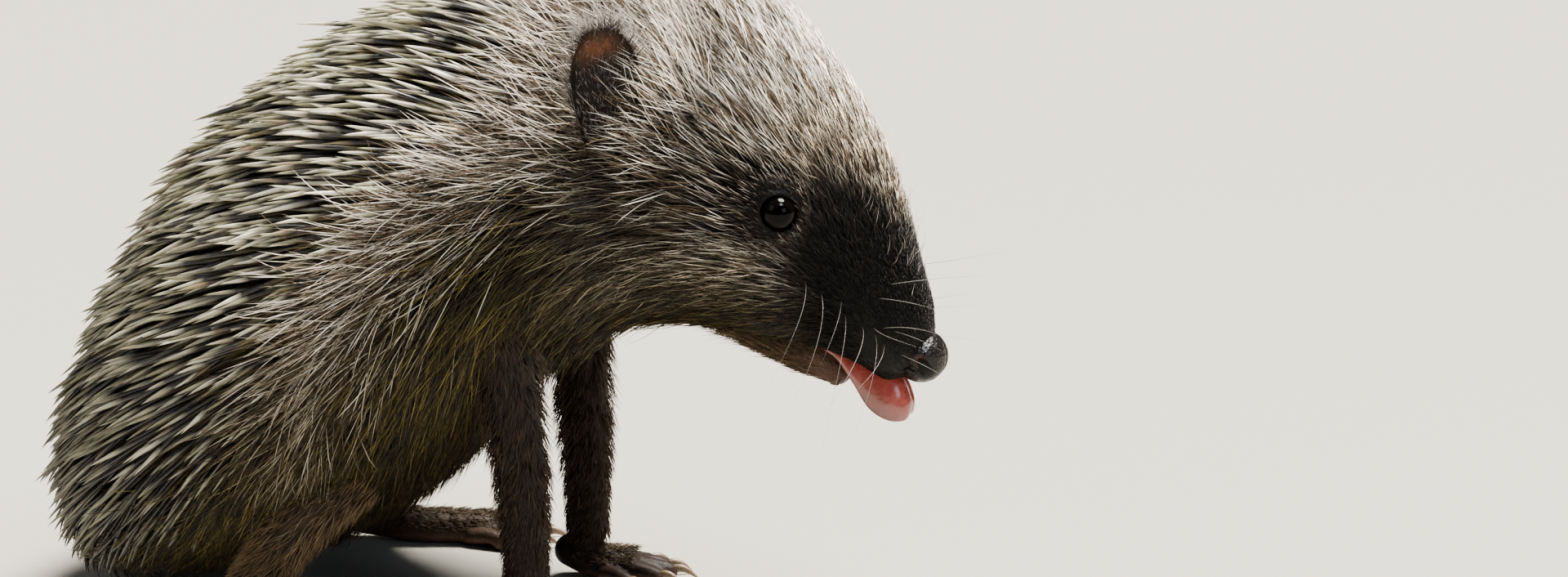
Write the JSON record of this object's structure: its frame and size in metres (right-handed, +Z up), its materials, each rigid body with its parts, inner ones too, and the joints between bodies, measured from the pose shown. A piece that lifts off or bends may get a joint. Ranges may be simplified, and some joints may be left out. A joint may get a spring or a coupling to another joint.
{
  "type": "hedgehog",
  "caption": "Life-size still model of a European hedgehog, crouched on its hind feet with straight forelegs and lowered head, tongue out to drink.",
  "frame": {"origin": "on the floor, under the middle of the animal's bounding box", "axes": "+X towards the nose, +Y to the animal's left, +Z up; the soles stand on z = 0"},
  "size_m": [0.1437, 0.084, 0.1075],
  "materials": {
    "quill_coat": "stiff banded quills over coarse hair",
    "face_fur": "short coarse fur",
    "dark_fur": "short dark fur",
    "leg_fur": "short brown fur",
    "paw_skin": "bare dark skin with claws",
    "eye": "wet black",
    "nose_leather": "moist black",
    "tongue": "wet pink"
  },
  "bodies": {
    "root": {"trunk": "quill_coat", "neck": "quill_coat", "head": "face_fur", "lower_jaw": "face_fur", "nose": "nose_leather", "tongue": "tongue", "ear_left": "dark_fur", "ear_right": "dark_fur", "eye_left": "eye", "eye_right": "eye", "tail": "dark_fur", "foreleg_left": "dark_fur", "foreleg_right": "dark_fur", "forepaw_left": "paw_skin", "forepaw_right": "paw_skin", "hindleg_left": "leg_fur", "hindleg_right": "leg_fur", "hindfoot_left": "paw_skin", "hindfoot_right": "paw_skin"}
  },
  "joints": []
}
